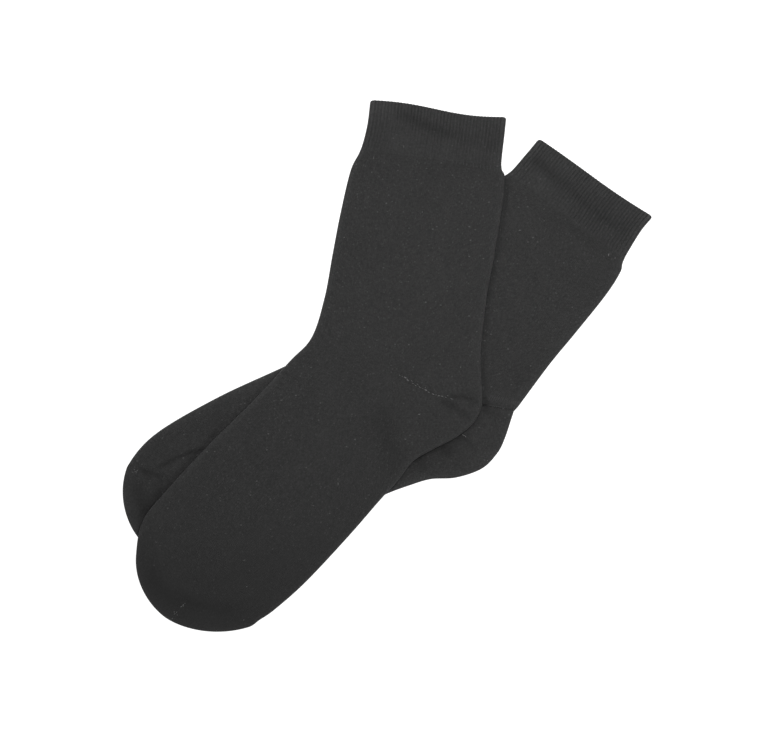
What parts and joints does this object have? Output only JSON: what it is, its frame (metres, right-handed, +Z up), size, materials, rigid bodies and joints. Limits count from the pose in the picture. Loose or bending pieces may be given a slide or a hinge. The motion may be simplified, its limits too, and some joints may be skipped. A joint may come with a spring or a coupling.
{
  "type": "pair of socks",
  "caption": "Pair of plain knitted crew socks laid flat, one across the other, each with a turned welt, ribbed cuff, leg and foot, heel pocket and toe cap.",
  "frame": {"origin": "on the table, under the middle of the pair's box seen from above", "axes": "+Z up from the table, +Y along the table towards the upper sock's cuff, +X towards the lower sock's cuff"},
  "size_m": [0.3327, 0.3345, 0.0064],
  "materials": {
    "cuff_knit": "ribbed charcoal knit, matt",
    "body_knit": "plain charcoal knit with fine light fibres, matt",
    "heel_knit": "plain charcoal knit, matt",
    "toe_knit": "plain charcoal knit, matt"
  },
  "bodies": {
    "root": {"top_sock_welt": "cuff_knit", "top_sock_cuff": "cuff_knit", "top_sock_body": "body_knit", "top_sock_heel": "heel_knit", "top_sock_toe": "toe_knit", "under_sock_welt": "cuff_knit", "under_sock_cuff": "cuff_knit", "under_sock_body": "body_knit", "under_sock_heel": "heel_knit", "under_sock_toe": "toe_knit"}
  },
  "joints": []
}
